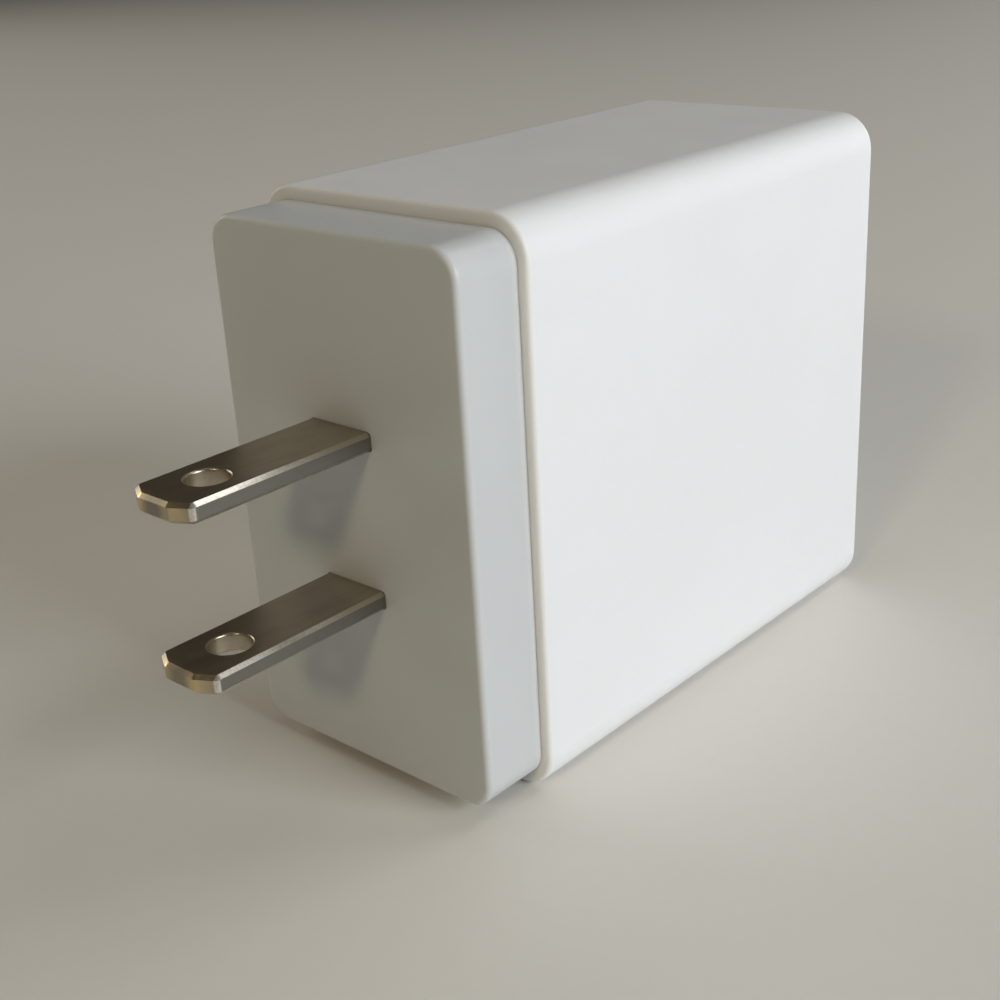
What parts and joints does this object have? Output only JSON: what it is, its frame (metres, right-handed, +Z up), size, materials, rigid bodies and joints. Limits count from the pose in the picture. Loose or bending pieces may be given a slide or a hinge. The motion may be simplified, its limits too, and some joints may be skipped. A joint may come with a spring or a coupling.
{
  "type": "multi-port usb wall charger",
  "caption": "Box-shaped mains charger with two flat fixed blades on a stepped plug cap and a column of USB-A sockets on the opposite end.",
  "frame": {"origin": "centre of the plug face, midway between the blades", "axes": "+Z up as it stands on its narrow side, -Y along the blades and out of the plug face, +Y towards the sockets, +X to the right seen from the plug face"},
  "size_m": [0.027, 0.0699, 0.0452],
  "materials": {
    "white_plastic": "white moulded plastic, satin, with a very fine grain",
    "plated_brass": "nickel-plated brass, bright, with brass showing at the cut tips",
    "spring_bronze": "spring bronze, satin",
    "circuit_board": "green solder resist on glass-fibre board",
    "clear_film": "milky plastic film",
    "black_plastic": "black moulded plastic, matt",
    "ferrite": "dark grey ferrite, matt",
    "copper_wire": "enamelled copper wire",
    "yellow_plastic": "yellow moulded box",
    "yellow_tape": "yellow tape",
    "blue_epoxy": "blue epoxy coat",
    "sleeved_can": "dark plastic sleeve on an aluminium can",
    "bare_can": "bare aluminium can",
    "tinned_metal": "tinned brass",
    "socket_steel": "nickel-plated steel sheet, satin",
    "gold_contacts": "gold-plated contacts"
  },
  "bodies": {
    "root": {"blade_lower": "plated_brass", "blade_upper": "plated_brass", "bridge_rectifier": "black_plastic", "bulk_capacitor_1": "sleeved_can", "bulk_capacitor_2": "sleeved_can", "choke_core": "ferrite", "choke_winding": "copper_wire", "contact_spring_lower": "spring_bronze", "contact_spring_upper": "spring_bronze", "control_chip": "black_plastic", "fuse": "black_plastic", "insulating_sheet": "clear_film", "line_capacitor": "yellow_plastic", "link_header": "black_plastic", "link_pins": "tinned_metal", "main_board": "circuit_board", "optocoupler": "black_plastic", "output_capacitor_1": "bare_can", "output_capacitor_2": "bare_can", "output_rectifier": "black_plastic", "plug_cap": "white_plastic", "port_board": "circuit_board", "port_chip_1": "black_plastic", "port_chip_2": "black_plastic", "safety_capacitor": "blue_epoxy", "sleeve": "white_plastic", "transformer_bobbin": "black_plastic", "transformer_core_front": "ferrite", "transformer_core_rear": "ferrite", "transformer_pins": "tinned_metal", "transformer_tape": "yellow_tape", "transformer_winding": "copper_wire", "usb_contacts_1": "gold_contacts", "usb_contacts_2": "gold_contacts", "usb_contacts_3": "gold_contacts", "usb_insulator_1": "black_plastic", "usb_insulator_2": "black_plastic", "usb_insulator_3": "black_plastic", "usb_shell_1": "socket_steel", "usb_shell_2": "socket_steel", "usb_shell_3": "socket_steel"}
  },
  "joints": []
}
